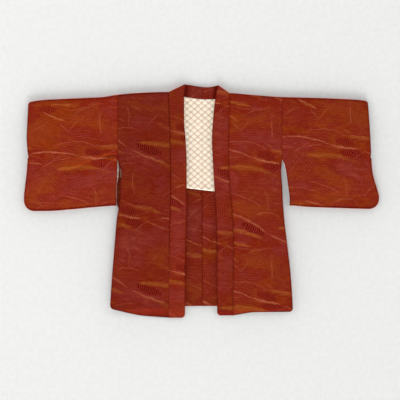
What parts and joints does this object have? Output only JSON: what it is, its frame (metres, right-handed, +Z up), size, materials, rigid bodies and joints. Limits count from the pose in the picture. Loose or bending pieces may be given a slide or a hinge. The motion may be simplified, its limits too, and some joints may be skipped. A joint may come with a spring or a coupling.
{
  "type": "kimono jacket",
  "caption": "Lined silk kimono jacket (haori) laid open and flat, with hanging sleeves, a folded collar band and a cream lining at the neck.",
  "frame": {"origin": "middle of the bounding box, on the surface that the garment lies on", "axes": "+Z up from that surface, through the fronts; +Y from the hem to the collar; +X to the viewer's right, which is the wearer's left"},
  "size_m": [1.3312, 0.8758, 0.0088],
  "materials": {
    "outer_silk": "brick-red figured silk",
    "collar_silk": "brick-red figured silk, doubled",
    "lining_silk": "cream figured lining silk"
  },
  "bodies": {
    "root": {"body_left": "outer_silk", "body_right": "outer_silk", "sleeve_left": "outer_silk", "sleeve_right": "outer_silk", "collar_left": "collar_silk", "collar_right": "collar_silk", "gusset_left": "outer_silk", "gusset_right": "outer_silk", "lining_left": "lining_silk", "lining_right": "lining_silk", "sleeve_lining_left": "lining_silk", "sleeve_lining_right": "lining_silk", "side_lining_left": "lining_silk"}
  },
  "joints": []
}
